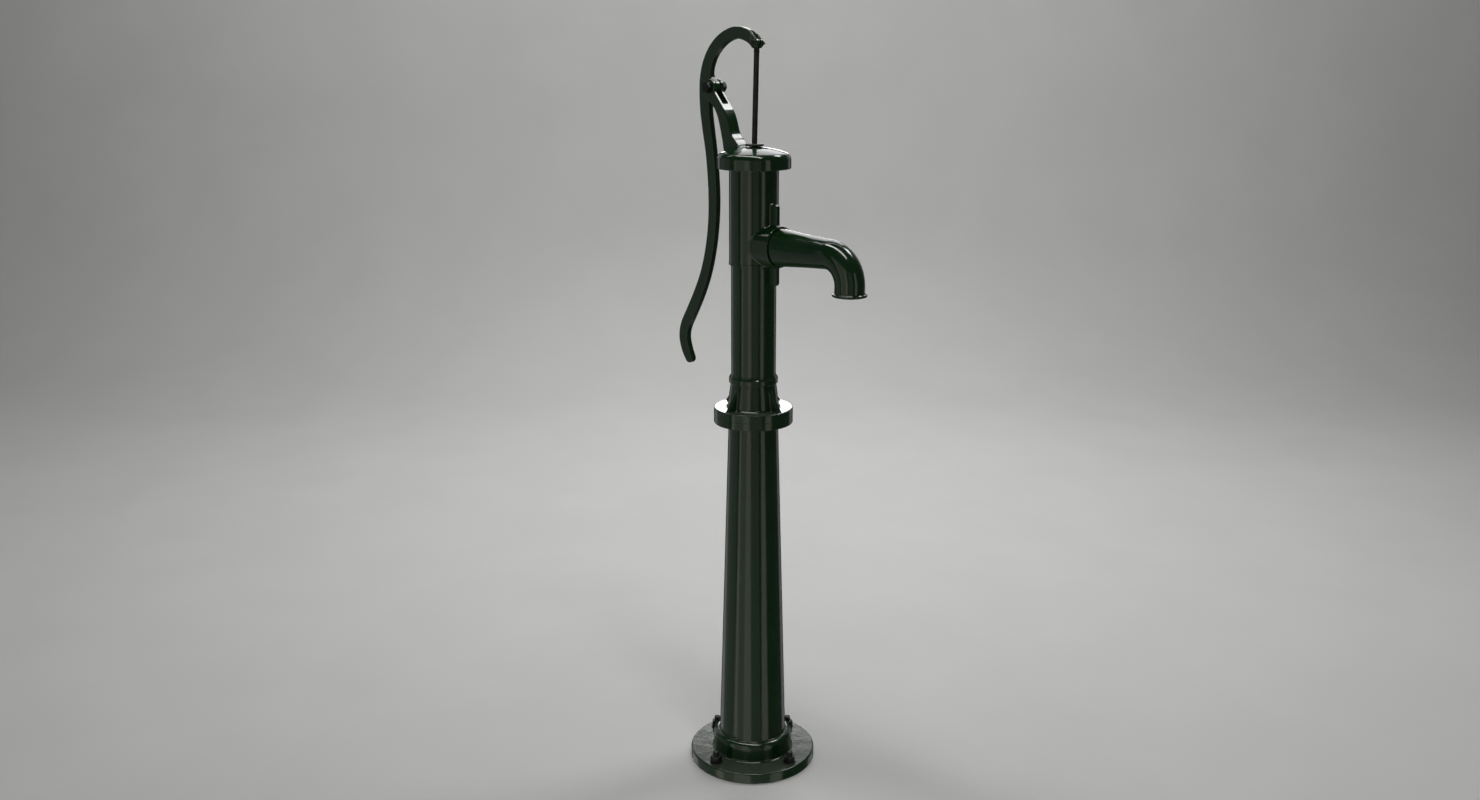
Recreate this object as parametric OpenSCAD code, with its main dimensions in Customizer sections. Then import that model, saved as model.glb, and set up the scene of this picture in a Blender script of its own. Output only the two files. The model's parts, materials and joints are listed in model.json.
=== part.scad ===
// Hand well pump on a tapered cast-iron pedestal.
// Units are millimetres. +Z is up, the spout points along +X and the lever hangs on the -X side.
// The origin is the centre of the pedestal's underside. The rest pose has the handle hanging down.

/* [Pedestal] */
// Radius of the round base flange
base_r = 120.5; // [116:0.5:128]
// Thickness of the base flange
base_h = 20; // [16:1:24]
// Radius of the stepped skirt at the foot of the column
skirt_r = 76; // [74:1:80]
// Height of the top of the skirt
skirt_top = 57; // [50:1:64]
// Column radius just above the skirt
column_foot_r = 64; // [60:1:66]
// Column radius under the top flange
column_top_r = 46; // [46:1:48]
// Wall thickness of the column
column_wall = 8; // [6:1:10]
// Bolt circle of the anchor studs
anchor_pcd = 200; // [196:2:204]
// Nominal diameter of the anchor studs
anchor_d = 12; // [10:1:14]

/* [Flanged joint] */
// Radius of the flange pair between pedestal and pump
flange_r = 73; // [72:0.5:76]
// Height of the underside of the flange pair
flange_z = 682; // [670:1:690]
// Thickness of each flange
flange_t = 14.2; // [13:0.1:16]
// Thickness of the sheet gasket between the flanges
gasket_t = 0.6; // [0.4:0.1:1]

/* [Barrel] */
// Outer radius of the pump cylinder
cylinder_r = 41; // [40.5:0.5:41.5]
// Bore radius of the pump cylinder
bore_r = 36; // [35.5:0.5:36]
// Outer radius of the head chamber
chamber_r = 45; // [44.5:0.5:47]
// Radius of the bead round the cylinder's foot
bead_r = 45; // [44:0.5:47]

/* [Spout] */
// Height of the spout's centreline
spout_z = 1012; // [1008:1:1016]
// Radius of the spout boss on the head chamber
boss_r = 37; // [35:0.5:38]
// Distance from the pump's axis to the face of the boss
boss_x = 66; // [62:1:70]
// Distance from the pump's axis to the axis of the spout's mouth
mouth_x = 227; // [215:1:245]
// Height of the spout's mouth
mouth_z = 945; // [935:1:950]
// Outer radius of the spout at its bend
spout_r = 26; // [25:0.5:28]
// Centreline radius of the spout's bend
bend_r = 50; // [46:1:54]
// Thickness of the ribs above and below the boss
rib_t = 9; // [7:0.5:12]

/* [Cap and fork] */
// Radius of the cap
cap_r = 66; // [64:1:68]
// Height of the top of the cap
cap_top = 1184; // [1182:1:1186]
// Width of the fork that carries the lever
fork_w = 26; // [25:0.5:30]
// Width of the slot in the fork
fork_slot = 13; // [12.8:0.1:15]
// Radius of the eyes at the top of the fork
fork_eye_r = 14.5; // [13:0.5:16]

/* [Lever] */
// Thickness of the lever bar
lever_t = 12; // [10:0.5:12.4]
// Width of the forked tip that holds the rod
tip_w = 18; // [17:0.5:22]
// Diameter of the pump rod
rod_d = 9.6; // [8:0.2:10]

/* [Hidden] */
$fn = 64;
fine = 96;

// Colours
enamel = [0.03, 0.09, 0.06];
steel = [0.30, 0.31, 0.32];
dark_steel = [0.10, 0.11, 0.11];
brass_colour = [0.72, 0.55, 0.25];
leather_colour = [0.42, 0.25, 0.12];
rubber_colour = [0.06, 0.06, 0.06];

// Clearances
thread_gap = 0.05;
running_gap = 0.05;
eps = 0.01;

// Heights up the pump, in order
foot_z = flange_z + flange_t + gasket_t;
foot_flange_top = foot_z + flange_t;
bead_z = foot_flange_top + 45;
bead_split_z = bead_z + 5;
bead_top_z = bead_z + 11;
bead_shoulder_r = cylinder_r + 1.6;
bead_shoulder_z = bead_top_z + 3;
seat_z = bead_split_z + 13;
leather_t = 3;
cylinder_stop_z = seat_z + leather_t;
chamber_z = 975;
cylinder_top_z = 988;
chamber_gasket_t = 2;
chamber_bore_r = chamber_r - 7;
cap_z = 1146;
chamber_flange_r = cap_r - 6.5;
chamber_top_z = cap_z + 11;

// Anchor hardware
anchor_r = anchor_d / 2;
anchor_hole_r = anchor_r + 0.5;
anchor_washer_r = 12;
washer_t = 2.5;
nut_af = 19;
nut_h = 10;
nut_turn = 15;
nut_top = base_h + washer_t + nut_h;
stud_top = nut_top + 9;
stud_end_r = anchor_r - 0.4;
stud_chamfer = 1;

// Suction pipe
pipe_r = 21.2;
pipe_bore_r = 18;
pipe_z0 = 26;
pipe_z1 = foot_z + 39;
coupling_r = 27;
coupling_h = 52;
coupling_stop_z = 24;

// Flange screws, set up from below into counterbores
screw_r = 5;
screw_circle_r = 59.5;
screw_head_h = 6.4;
screw_head_af = 16;
counterbore_r = 9.6;
counterbore_h = 7;
screw_reach = 11;
joint_bore_r = 30;

// Linkage: the fulcrum, the rod pin at the lever's tip and the piston pin, in the XZ plane
fulcrum = [-102, 1284];
tip_pin = [6, 1360];
link_pin = [-5, 982];
piston_pin_z = link_pin[1];
rod_r = rod_d / 2;
rod_len = norm(tip_pin - link_pin);
rod_tilt = atan2(tip_pin[0] - link_pin[0], tip_pin[1] - link_pin[1]);
fulcrum_r = 6;
pin_r = 4;

// The piston at the top of its stroke
piston_spigot_r = 20;
piston_port_r = 16;
clamp_z = 926;
cup_z = 932;
cup_base_t = 3.5;
cup_top_z = 957;
cup_wall = 3.3;
crown_z = cup_z + cup_base_t;
crown_top_z = crown_z + 7.5;

function arc(c, r, a0, a1, n = 8) =
    [for (i = [0 : n]) let (a = a0 + (a1 - a0) * i / n) c + r * [cos(a), sin(a)]];
function radius_at(z) =
    column_foot_r + (column_top_r - column_foot_r) * (z - skirt_top) / (flange_z - skirt_top);

// A smooth curve through a list of points, by Catmull-Rom pieces
function spline_point(p0, p1, p2, p3, t) =
    0.5 * (2 * p1 + (p2 - p0) * t + (2 * p0 - 5 * p1 + 4 * p2 - p3) * t * t
        + (3 * p1 - p0 - 3 * p2 + p3) * t * t * t);
function spline(points, steps) =
    let (last = len(points) - 1)
    [for (i = [0 : last - 1]) for (j = [0 : steps - (i == last - 1 ? 0 : 1)])
        spline_point(points[max(i - 1, 0)], points[i], points[i + 1], points[min(i + 2, last)], j / steps)];

// Turn an outline drawn in X and Z into a plate of thickness t, centred on Y = 0
module plate(t) {
    rotate([90, 0, 0]) linear_extrude(t, center = true) children();
}
// A cylinder along Y through the point p in the XZ plane
module cross_cylinder(p, r, y0, y1) {
    translate([p[0], y1, p[1]]) rotate([90, 0, 0]) cylinder(r = r, h = y1 - y0, $fn = fine);
}
module hexagon(af, h) {
    cylinder(r = af / 2 / cos(30), h = h, $fn = 6);
}
// A hexagon with its corners chamfered by a cone at one or both ends
module chamfered_hexagon(af, h, chamfer_below = true) {
    corner_r = af / 2 / cos(30);
    flat_r = af / 2 - 0.3;
    drop = 1.1;
    intersection() {
        hexagon(af, h);
        rotate_extrude($fn = fine) polygon([
            [0, 0],
            [chamfer_below ? flat_r : corner_r + 1, 0],
            [corner_r + 1, chamfer_below ? drop * 1.6 : 0],
            [corner_r + 1, h - drop * 1.6],
            [flat_r, h],
            [0, h]
        ]);
    }
}
module ring(r_out, r_in, h) {
    difference() {
        cylinder(r = r_out, h = h, $fn = fine);
        translate([0, 0, -1]) cylinder(r = r_in, h = h + 2, $fn = fine);
    }
}
module at_anchors() {
    for (a = [0 : 90 : 270]) rotate([0, 0, a]) translate([anchor_pcd / 2, 0, 0]) children();
}
module at_flange_screws() {
    for (a = [45 : 90 : 315]) rotate([0, 0, a]) translate([screw_circle_r, 0, 0]) children();
}

// ---- Pedestal and its fasteners ----
module pedestal() {
    edge = 2;
    cove = 4;
    shoulder = 10;
    inner_foot_r = column_foot_r - column_wall;
    inner_top_r = column_top_r - column_wall;
    top = flange_z + flange_t;
    color(enamel) difference() {
        rotate_extrude($fn = fine) polygon(concat(
            [[inner_foot_r, 0], [base_r - 1, 0], [base_r, 1]],
            arc([base_r - edge, base_h - edge], edge, 0, 90, 4),
            arc([skirt_r + cove, base_h + cove], cove, 270, 180, 5),
            arc([skirt_r - shoulder, skirt_top - shoulder], shoulder, 0, 90, 9),
            arc([radius_at(skirt_top + 2) + 2, skirt_top + 2], 2, 270, 180, 3),
            arc([radius_at(flange_z - cove) + cove, flange_z - cove], cove, 180, 90, 5),
            [[flange_r - 1, flange_z], [flange_r, flange_z + 1]],
            [[flange_r, top], [joint_bore_r, top], [joint_bore_r, top - 12], [inner_top_r, top - 22]],
            [[inner_foot_r, skirt_top]]
        ));
        at_anchors() translate([0, 0, -1]) cylinder(r = anchor_hole_r, h = base_h + 2);
        at_flange_screws() {
            translate([0, 0, flange_z - 5]) cylinder(r = counterbore_r, h = 5 + counterbore_h);
            translate([0, 0, flange_z]) cylinder(r = screw_r + 0.5, h = flange_t + 1);
        }
    }
}
module anchor_studs() {
    end_z = nut_top + 0.5;
    tip_z = stud_top - stud_chamfer;
    color(dark_steel) at_anchors() {
        cylinder(r = anchor_r, h = end_z);
        translate([0, 0, end_z]) cylinder(r = stud_end_r, h = tip_z - end_z);
        translate([0, 0, tip_z]) cylinder(r1 = stud_end_r, r2 = stud_end_r - stud_chamfer, h = stud_chamfer);
    }
}
module anchor_washers() {
    color(dark_steel) at_anchors() translate([0, 0, base_h])
        ring(anchor_washer_r, anchor_r + 0.4, washer_t);
}
module anchor_nuts() {
    color(dark_steel) at_anchors() translate([0, 0, base_h + washer_t]) difference() {
        rotate([0, 0, nut_turn]) chamfered_hexagon(nut_af, nut_h);
        translate([0, 0, -1]) cylinder(r = anchor_r + thread_gap, h = nut_h + 2);
    }
}

// ---- Suction pipe inside the pedestal ----
module riser_pipe() {
    color(steel) translate([0, 0, pipe_z0]) ring(pipe_r, pipe_bore_r, pipe_z1 - pipe_z0);
}
module pipe_coupling() {
    socket_r = pipe_r + thread_gap;
    color(steel) rotate_extrude($fn = fine) polygon([
        [socket_r, 0], [coupling_r - 2, 0], [coupling_r, 2], [coupling_r, coupling_h - 2],
        [coupling_r - 2, coupling_h], [socket_r, coupling_h], [socket_r, pipe_z0],
        [pipe_bore_r + 0.5, pipe_z0], [pipe_bore_r + 0.5, coupling_stop_z], [socket_r, coupling_stop_z]
    ]);
}

// ---- Flanged joint and pump foot ----
module flange_gasket() {
    color(rubber_colour) translate([0, 0, flange_z + flange_t]) difference() {
        ring(flange_r - 0.2, joint_bore_r, gasket_t);
        at_flange_screws() translate([0, 0, -1]) cylinder(r = screw_r + 0.5, h = gasket_t + 2);
    }
}
module flange_screws() {
    head_top = flange_z + counterbore_h;
    shank_len = foot_z + screw_reach - head_top;
    color(dark_steel) at_flange_screws() {
        translate([0, 0, head_top - screw_head_h]) hexagon(screw_head_af, screw_head_h);
        translate([0, 0, head_top]) cylinder(r = screw_r, h = shank_len);
    }
}
module pump_foot() {
    cone_foot_r = 48;
    cone_top_r = 42;
    edge = 1.5;
    gusset_t = 7;
    gusset_reach = 68;
    gusset_top = foot_flange_top + 36;
    throat_r = 19.5;
    port_r = 21;
    spigot_r = bore_r + 1.9;
    color(enamel) difference() {
        union() {
            rotate_extrude($fn = fine) polygon(concat(
                [[pipe_r + thread_gap, foot_z], [flange_r, foot_z]],
                arc([flange_r - edge, foot_flange_top - edge], edge, 0, 90, 4),
                arc([cone_foot_r + 3, foot_flange_top + 3], 3, 270, 180, 4),
                [[cone_top_r, bead_z - 1.5]],
                [[bead_r - 1, bead_z], [bead_r, bead_z + 1.5], [bead_r, bead_split_z]],
                [[spigot_r, bead_split_z], [spigot_r, seat_z], [port_r, seat_z], [port_r, seat_z - 6]],
                [[30, seat_z - 14], [30, pipe_z1 + 14], [throat_r, pipe_z1 + 4]],
                [[throat_r, pipe_z1 + eps], [pipe_r + thread_gap, pipe_z1 + eps]]
            ));
            for (a = [0 : 90 : 270]) rotate([0, 0, a]) plate(gusset_t) polygon([
                [cone_top_r - 4, foot_flange_top - 2], [gusset_reach, foot_flange_top - 2],
                [gusset_reach, foot_flange_top + 1.5], [cone_top_r + 0.5, gusset_top],
                [cone_top_r - 4, gusset_top]
            ]);
        }
        at_flange_screws() translate([0, 0, foot_z - 1])
            cylinder(r = screw_r + thread_gap, h = screw_reach + 2);
    }
}

// ---- Foot valve: a leather flap with an iron weight ----
flap_r = 29;
weight_r = 18;
weight_h = 10;
valve_bolt_r = 4;
valve_bolt_af = 13;
valve_nut_h = 3.5;
module foot_valve_leather() {
    color(leather_colour) translate([0, 0, seat_z]) ring(bore_r + 1.8, flap_r + 1.2, leather_t);
}
module foot_valve_flap() {
    color(leather_colour) translate([0, 0, seat_z]) ring(flap_r, valve_bolt_r + thread_gap, leather_t);
}
module foot_valve_weight() {
    hole_r = valve_bolt_r + thread_gap;
    bevel = 2;
    color(dark_steel) translate([0, 0, seat_z + leather_t]) rotate_extrude($fn = fine) polygon([
        [hole_r, 0], [weight_r, 0], [weight_r, weight_h - bevel],
        [weight_r - bevel, weight_h], [hole_r, weight_h]
    ]);
}
module foot_valve_bolt() {
    head_z = seat_z + leather_t + weight_h;
    color(brass_colour) {
        translate([0, 0, seat_z - 5]) cylinder(r = valve_bolt_r, h = head_z - seat_z + 5);
        translate([0, 0, head_z]) hexagon(valve_bolt_af, 4);
    }
}
module foot_valve_nut() {
    color(brass_colour) translate([0, 0, seat_z - valve_nut_h]) difference() {
        hexagon(valve_bolt_af, valve_nut_h);
        translate([0, 0, -1]) cylinder(r = valve_bolt_r + thread_gap, h = 6);
    }
}

// ---- Cylinder and head chamber ----
boss_bore_r = 24.1;
boss_bore_x = 48;
module cylinder_body() {
    spigot_socket_r = bore_r + 1.95;
    color(enamel) rotate_extrude($fn = fine) polygon([
        [spigot_socket_r, bead_split_z], [bead_r, bead_split_z], [bead_r, bead_top_z - 2],
        [bead_r - 1, bead_top_z], [bead_shoulder_r, bead_shoulder_z],
        [cylinder_r, bead_shoulder_z + 5], [cylinder_r, cylinder_top_z],
        [bore_r, cylinder_top_z], [bore_r, cylinder_stop_z], [spigot_socket_r, cylinder_stop_z]
    ]);
}
module chamber_gasket() {
    color(rubber_colour) translate([0, 0, cylinder_top_z])
        ring(cylinder_r - 0.1, chamber_bore_r, chamber_gasket_t);
}
rib_low = 942;
rib_high = 1086;
module rib_outline() {
    front = 60;
    corner = 5;
    polygon(concat(
        [[chamber_bore_r + 3, chamber_z + 1], [cylinder_r + 2, chamber_z + 1], [cylinder_r + 2, rib_low]],
        arc([front - corner, rib_low + corner], corner, 270, 360, 5),
        arc([front - corner, rib_high - corner], corner, 0, 70, 5),
        [[chamber_r - 1, rib_high + 3], [chamber_bore_r + 3, rib_high + 3]]
    ));
}
module head_chamber() {
    socket_r = cylinder_r + thread_gap;
    shoulder_z = cylinder_top_z + chamber_gasket_t;
    port_r = 20;
    boss_start_x = chamber_bore_r - 6;
    boss_len = boss_x - boss_start_x;
    boss_edge = 1.5;
    color(enamel) difference() {
        union() {
            rotate_extrude($fn = fine) polygon([
                [socket_r, chamber_z], [chamber_r - 0.8, chamber_z], [chamber_r, chamber_z + 1],
                [chamber_r, chamber_z + 4.5], [chamber_r - 0.6, chamber_z + 5.5],
                [chamber_r - 0.6, cap_z - 3], [chamber_r + 4, cap_z + 1], [chamber_flange_r, cap_z + 1],
                [chamber_flange_r, chamber_top_z], [chamber_bore_r, chamber_top_z],
                [chamber_bore_r, shoulder_z], [socket_r, shoulder_z]
            ]);
            difference() {
                union() {
                    translate([boss_start_x, 0, spout_z]) rotate([0, 90, 0]) rotate_extrude($fn = fine)
                        polygon(concat(
                            [[0, 0], [boss_r, 0]],
                            arc([boss_r - boss_edge, boss_len - boss_edge], boss_edge, 0, 90, 4),
                            [[0, boss_len]]
                        ));
                    plate(rib_t) rib_outline();
                }
                translate([0, 0, shoulder_z]) cylinder(r = chamber_bore_r + 1, h = 150, $fn = fine);
                translate([0, 0, rib_low - 20])
                    cylinder(r = socket_r, h = shoulder_z - rib_low + 20 + eps, $fn = fine);
            }
        }
        translate([boss_bore_x, 0, spout_z]) rotate([0, 90, 0])
            cylinder(r = boss_bore_r, h = boss_x, $fn = fine);
        translate([10, 0, spout_z]) rotate([0, 90, 0])
            cylinder(r = port_r, h = boss_bore_x, $fn = fine);
    }
}

// ---- Spout ----
spout_root_r = 33.5;
spout_gasket_t = 2.5;
spout_bore_r = 20;
mouth_bore_r = 22;
mouth_bore_h = 15;
module spout_gasket() {
    color(rubber_colour) translate([boss_x, 0, spout_z]) rotate([0, 90, 0])
        ring(spout_root_r - 2.5, boss_bore_r, spout_gasket_t);
}
module spout() {
    root_x = boss_x + spout_gasket_t;
    bend_x = mouth_x - bend_r;
    bend_z = spout_z - bend_r;
    lip_r = 30;
    lip_h = 4;
    edge = 1.5;
    spigot_r = boss_bore_r - 0.1;
    spigot_x = root_x - 17;
    color(enamel) difference() {
        union() {
            translate([0, 0, spout_z]) rotate([0, 90, 0]) rotate_extrude($fn = fine) polygon(concat(
                [[0, spigot_x], [spigot_r, spigot_x], [spigot_r, root_x]],
                arc([spout_root_r - edge, root_x + edge], edge, 270, 360, 4),
                [[spout_r, bend_x], [0, bend_x]]
            ));
            translate([bend_x, 0, bend_z]) rotate([90, 0, 0]) rotate_extrude(angle = 90, $fn = fine)
                translate([bend_r, 0]) circle(r = spout_r, $fn = fine);
            translate([mouth_x, 0, 0]) rotate_extrude($fn = fine) polygon([
                [0, mouth_z], [lip_r - 1, mouth_z], [lip_r, mouth_z + 1], [lip_r, mouth_z + lip_h - 1],
                [lip_r - 1, mouth_z + lip_h], [spout_r + 0.5, mouth_z + lip_h + 0.5],
                [spout_r, mouth_z + lip_h + 2],
                [spout_r, bend_z], [0, bend_z]
            ]);
        }
        translate([spigot_x - 1, 0, spout_z]) rotate([0, 90, 0])
            cylinder(r = spout_bore_r, h = bend_x - spigot_x + 1, $fn = fine);
        translate([bend_x, 0, bend_z]) rotate([90, 0, 0]) rotate_extrude(angle = 90, $fn = fine)
            translate([bend_r, 0]) circle(r = spout_bore_r, $fn = fine);
        translate([mouth_x, 0, mouth_z - 1]) cylinder(r = mouth_bore_r, h = mouth_bore_h + 1, $fn = fine);
        translate([mouth_x, 0, mouth_z + mouth_bore_h - 1])
            cylinder(r = spout_bore_r, h = bend_z - mouth_z - mouth_bore_h + 1, $fn = fine);
    }
}

// ---- Cap with the lever's fork cast on ----
slot_from = -6;
slot_to = 31;
slot_half = 6.2;
set_screw_angles = [105, 165];
set_screw_r = 4;
set_screw_z = cap_z + 6;
module cap_rod_slot() {
    ends = [slot_from + slot_half, slot_to - slot_half];
    translate([0, 0, cap_z]) linear_extrude(60) union() {
        for (x = ends) translate([x, 0]) circle(r = slot_half, $fn = fine);
        translate([ends[0], -slot_half]) square([ends[1] - ends[0], 2 * slot_half]);
    }
}
module at_set_screws(x) {
    for (a = set_screw_angles) rotate([0, 0, a]) translate([x, 0, set_screw_z]) children();
}
module cap_shell() {
    dome_r = 170;
    corner = 8;
    corner_rise = sqrt(pow(dome_r - corner, 2) - pow(cap_r - corner, 2));
    corner_end = atan2(corner_rise, cap_r - corner);
    rotate_extrude($fn = fine) polygon(concat(
        [[chamber_flange_r + 0.1, cap_z], [cap_r - 0.8, cap_z], [cap_r, cap_z + 0.8]],
        arc([cap_r - corner, cap_top - dome_r + corner_rise], corner, 0, corner_end - 4, 9),
        arc([0, cap_top - dome_r], dome_r, corner_end, 90, 10),
        [[0, cap_top - 11], [46, cap_top - 14]],
        [[50, chamber_top_z], [chamber_flange_r + 0.1, chamber_top_z]]
    ));
}
module fork_outline() {
    polygon([
        [-116, 1279], [-108, 1266], [-97, 1256], [-87, 1246], [-79, 1231], [-72.5, 1210], [-68, 1193],
        [-66, 1182], [-62.5, 1162], [-55, 1162], [-50, 1172], [-24, 1174], [-25, 1181], [-33, 1191],
        [-42, 1200], [-48, 1210], [-54, 1228], [-61, 1242], [-68, 1252], [-88, 1276]
    ]);
}
module cap() {
    slot_floor = 1256;
    color(enamel) difference() {
        union() {
            cap_shell();
            plate(fork_w) fork_outline();
            cross_cylinder(fulcrum, fork_eye_r, -fork_w / 2, fork_w / 2);
        }
        translate([-150, -fork_slot / 2, slot_floor]) cube([100, fork_slot, 60]);
        cross_cylinder(fulcrum, fulcrum_r + running_gap, -fork_w, fork_w);
        cap_rod_slot();
        at_set_screws(50) rotate([0, 90, 0]) cylinder(r = set_screw_r + thread_gap, h = 30);
    }
}
module cap_set_screws() {
    gap_to_cap = 1;
    head_side = 9;
    head_h = 7;
    shank_len = cap_r + gap_to_cap - chamber_flange_r;
    color(dark_steel) at_set_screws(chamber_flange_r) {
        rotate([0, 90, 0]) cylinder(r = set_screw_r, h = shank_len);
        translate([shank_len, -head_side / 2, -head_side / 2]) cube([head_h, head_side, head_side]);
    }
}

// ---- Lever and its pins ----
// Centreline of the lever from the tip over the arch, past the fulcrum and down to the grip: x, z, half width
lever_line = [
    [6, 1360, 9], [-14, 1373, 10.3], [-42, 1378, 10.3], [-72, 1369, 10.8], [-97, 1350, 11.2],
    [-113, 1325, 11.8], [-119.5, 1297, 13.2], [-121, 1268, 12.8], [-120, 1240, 11.8], [-115, 1208, 11.4],
    [-108.5, 1172, 10.8], [-103.5, 1130, 10.8], [-101, 1085, 10.8], [-103, 1040, 10.4], [-110.5, 992, 10.3],
    [-124, 945, 10.6], [-143, 903, 11], [-165, 864, 11.2], [-180, 837, 11.2], [-184, 814, 11.2],
    [-178, 792, 10.8], [-169.5, 776, 9.5]
];
hub_r = 13.5;
module lever_outline() {
    line = spline(lever_line, 5);
    last = len(line) - 1;
    heading = [for (i = [0 : last])
        let (d = line[min(i + 1, last)] - line[max(i - 1, 0)]) atan2(d[1], d[0])];
    spot = [for (p = line) [p[0], p[1]]];
    offset = [for (i = [0 : last]) line[i][2] * [-sin(heading[i]), cos(heading[i])]];
    left = [for (i = [0 : last]) spot[i] + offset[i]];
    right = [for (i = [last : -1 : 0]) spot[i] - offset[i]];
    grip_end = arc(spot[last], line[last][2], heading[last] + 75, heading[last] - 75, 6);
    union() {
        polygon(concat(left, grip_end, right));
        translate(tip_pin) circle(r = lever_line[0][2], $fn = fine);
        translate(fulcrum) circle(r = hub_r, $fn = fine);
        polygon([[-124, 1268], [-102, 1270.5], [-102, 1297.5], [-106, 1303], [-120, 1306]]);
    }
}
module lever() {
    tip_slot = 5.4;
    color(enamel) difference() {
        union() {
            plate(lever_t) lever_outline();
            plate(tip_w) intersection() {
                lever_outline();
                translate([0, 1340]) square([40, 60]);
            }
        }
        translate([-8, -tip_slot / 2, 1330]) cube([60, tip_slot, 90]);
        cross_cylinder(tip_pin, pin_r + thread_gap, -20, 20);
        cross_cylinder(fulcrum, fulcrum_r + running_gap, -20, 20);
    }
}
fulcrum_washer_t = 1.6;
fulcrum_washer_r = 11.5;
fulcrum_af = 18;
module fulcrum_bolt() {
    head_y = fork_w / 2 + fulcrum_washer_t;
    color(dark_steel) {
        cross_cylinder(fulcrum, fulcrum_r, -head_y, head_y + 13);
        translate([fulcrum[0], -head_y, fulcrum[1]]) rotate([90, 0, 0])
            chamfered_hexagon(fulcrum_af, 7.5, false);
    }
}
module fulcrum_washers() {
    color(dark_steel) for (side = [-1, 1]) difference() {
        y = side * (fork_w + fulcrum_washer_t) / 2;
        cross_cylinder(fulcrum, fulcrum_washer_r, y - fulcrum_washer_t / 2, y + fulcrum_washer_t / 2);
        cross_cylinder(fulcrum, fulcrum_r + 0.3, y - 5, y + 5);
    }
}
module fulcrum_nut() {
    y = fork_w / 2 + fulcrum_washer_t;
    color(dark_steel) difference() {
        translate([fulcrum[0], y, fulcrum[1]]) rotate([-90, 0, 0])
            chamfered_hexagon(fulcrum_af, 10, false);
        cross_cylinder(fulcrum, fulcrum_r + thread_gap, y - 1, y + 20);
    }
}
cotter_r = 1;
cotter_y = tip_w / 2 + 4;
module rod_pin() {
    reach = tip_w / 2;
    color(dark_steel) difference() {
        union() {
            cross_cylinder(tip_pin, pin_r, -reach, reach + 7);
            cross_cylinder(tip_pin, pin_r + 2.5, -reach - 3, -reach);
        }
        translate([tip_pin[0] - 10, cotter_y, tip_pin[1]]) rotate([0, 90, 0])
            cylinder(r = cotter_r + 0.1, h = 20);
    }
}
module rod_pin_cotter() {
    loop_r = 2.2;
    leg_top = 7;
    leg_end = 8;
    color(steel) translate([tip_pin[0], cotter_y, tip_pin[1]]) rotate([0, -90, 0]) {
        translate([0, 0, -leg_end]) cylinder(r = cotter_r, h = leg_top + leg_end);
        translate([0, 0, leg_top + loop_r - cotter_r / 2]) rotate([90, 0, 90]) rotate_extrude($fn = 32)
            translate([loop_r, 0]) circle(r = cotter_r, $fn = 24);
    }
}

// ---- Rod, link and guide plate ----
// Local frame of the rod: origin at the lever's tip pin, -Z down the rod
module on_rod() {
    translate([tip_pin[0], 0, tip_pin[1]]) rotate([0, rod_tilt, 0]) children();
}
link_neck = 12;
lock_nut_h = 7;
module pump_rod() {
    eye_t = 5;
    eye_r = 8.2;
    shank_top = -14;
    blade_half = rod_r - 0.1;
    color(dark_steel) on_rod() difference() {
        union() {
            translate([0, 0, -rod_len + link_neck + 1])
                cylinder(r = rod_r, h = rod_len - link_neck - 1 + shank_top);
            translate([0, 0, shank_top]) cylinder(r1 = rod_r, r2 = eye_t / 2, h = 3);
            translate([-blade_half, -eye_t / 2, shank_top - 1])
                cube([2 * blade_half, eye_t, -shank_top - eye_r / 2]);
            rotate([90, 0, 0]) translate([0, 0, -eye_t / 2]) cylinder(r = eye_r, h = eye_t, $fn = fine);
        }
        rotate([90, 0, 0]) translate([0, 0, -10]) cylinder(r = pin_r + running_gap, h = 20, $fn = fine);
    }
}
module rounded_slot(half_x, half_z, corner) {
    union() {
        translate([-half_x, -half_z + corner]) square([2 * half_x, 2 * (half_z - corner)]);
        translate([-half_x + corner, -half_z]) square([2 * (half_x - corner), 2 * half_z]);
        for (sx = [-1, 1]) for (sz = [-1, 1])
            translate([sx * (half_x - corner), sz * (half_z - corner)]) circle(r = corner);
    }
}
module rod_link() {
    link_t = 8;
    color(dark_steel) on_rod() translate([0, 0, -rod_len]) difference() {
        union() {
            plate(link_t) rounded_slot(14.5, 12, 7);
            translate([0, 0, 9]) cylinder(r = 8, h = 15);
        }
        plate(link_t * 3) rounded_slot(10.5, 7.6, 5);
        translate([0, 0, link_neck]) cylinder(r = rod_r + thread_gap, h = 20);
    }
}
module rod_lock_nut() {
    color(steel) on_rod() translate([0, 0, -rod_len + 24]) difference() {
        chamfered_hexagon(16, lock_nut_h);
        translate([0, 0, -1]) cylinder(r = rod_r + thread_gap, h = lock_nut_h + 2);
    }
}
guide_r = 16.5;
guide_h = 4;
guide_z = cap_top + 0.9;
guide_x = tip_pin[0] - (tip_pin[1] - guide_z - guide_h / 2) * tan(rod_tilt);
module guide_plate() {
    edge = 1;
    color(dark_steel) difference() {
        translate([guide_x, 0, guide_z]) rotate_extrude($fn = fine) polygon([
            [0, 0], [guide_r - edge, 0], [guide_r, edge],
            [guide_r, guide_h - edge], [guide_r - edge, guide_h], [0, guide_h]
        ]);
        on_rod() translate([0, 0, -200]) cylinder(r = rod_r + 0.1, h = 60, $fn = fine);
    }
}

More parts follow.
